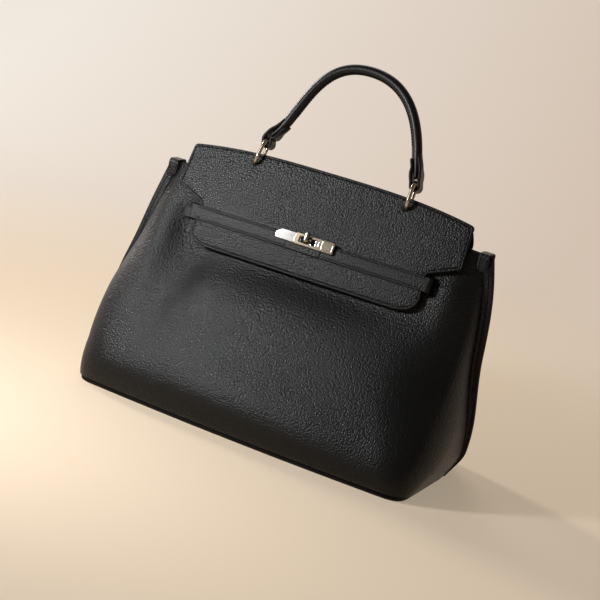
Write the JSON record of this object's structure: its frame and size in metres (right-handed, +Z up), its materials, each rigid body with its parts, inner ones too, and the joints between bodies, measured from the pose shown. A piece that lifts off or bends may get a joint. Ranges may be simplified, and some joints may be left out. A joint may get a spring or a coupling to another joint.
{
  "type": "top-handle bag",
  "caption": "Soft black leather handbag with a belted front flap, turn lock, oval rings and one round top handle.",
  "frame": {"origin": "centre of the underside of the base", "axes": "+X to the bag's right as its front is looked at, +Y to the back, +Z up"},
  "size_m": [0.3808, 0.1764, 0.3525],
  "materials": {
    "black_leather": "pebbled, semi-matt",
    "pale_gold": "polished pale gold",
    "silver": "polished",
    "lining_cloth": "fine twill",
    "stiff_board": "matt",
    "cord_core": "twisted cotton"
  },
  "bodies": {
    "bag": {"base_panel": "black_leather", "base_board": "stiff_board", "front_panel": "black_leather", "back_panel": "black_leather", "lining_bag": "lining_cloth", "front_facing": "black_leather", "back_facing": "black_leather", "inner_pocket": "lining_cloth", "left_top_tab": "black_leather", "right_top_tab": "black_leather", "strap_tail_left": "black_leather", "strap_tail_right": "black_leather", "lock_base": "pale_gold", "lock_backing": "silver", "lock_screw_left": "silver", "lock_screw_right": "silver", "flap_hinge": "black_leather"},
    "flap": {"flap_outer": "black_leather", "flap_lining": "lining_cloth", "crown_backing": "black_leather", "flap_eyelet": "pale_gold"},
    "knob": {"lock_knob": "pale_gold"},
    "ring_left_body": {"ring_left": "pale_gold"},
    "ring_right_body": {"ring_right": "pale_gold"},
    "handle": {"handle_cover": "black_leather", "handle_core": "cord_core", "handle_loop_left": "black_leather", "handle_loop_right": "black_leather"},
    "strap_left_body": {"strap_left": "black_leather", "strap_plate_left": "silver", "strap_rivet_left_1": "pale_gold", "strap_rivet_left_2": "pale_gold"},
    "strap_right_body": {"strap_right": "black_leather", "strap_plate_right": "pale_gold", "strap_rivet_right_1": "pale_gold", "strap_rivet_right_2": "pale_gold"}
  },
  "joints": [
    {"name": "flap_open", "type": "hinge", "parent": "bag", "child": "flap", "pos_m": [0, 0.0024, 0.2258], "axis": [-1, 0, 0], "range_deg": [0, 110], "deforming": ["flap_hinge"]},
    {"name": "ring_left_swing", "type": "hinge", "parent": "flap", "child": "ring_left_body", "pos_m": [0, -0.00117, 0.2449], "axis": [-1, 0, 0], "range_deg": [-30, 15]},
    {"name": "ring_right_swing", "type": "hinge", "parent": "flap", "child": "ring_right_body", "pos_m": [0, -0.00117, 0.2449], "axis": [-1, 0, 0], "range_deg": [-30, 15]},
    {"name": "handle_swing", "type": "hinge", "parent": "ring_left_body", "child": "handle", "pos_m": [0, 0.00149, 0.2535], "axis": [-1, 0, 0], "range_deg": [-40, 25]},
    {"name": "knob_turn", "type": "hinge", "parent": "bag", "child": "knob", "pos_m": [0, -0.02229, 0.184], "axis": [0, -0.9552, 0.296], "range_deg": [0, 90]},
    {"name": "strap_left_open", "type": "hinge", "parent": "bag", "child": "strap_left_body", "pos_m": [-0.1257, -0.01751, 0.17759], "axis": [0, -0.296, -0.9552], "range_deg": [0, 110], "deforming": ["strap_left"]},
    {"name": "strap_right_open", "type": "hinge", "parent": "bag", "child": "strap_right_body", "pos_m": [0.1257, -0.01751, 0.17759], "axis": [0, 0.296, 0.9552], "range_deg": [0, 132], "deforming": ["strap_right"]}
  ],
  "couplings": [
    {"joint": "ring_right_swing", "follows": "ring_left_swing", "ratio": 1},
    {"joint": "strap_left_open", "follows": "flap_open", "ratio": 1},
    {"joint": "strap_right_open", "follows": "flap_open", "ratio": 1.2}
  ]
}
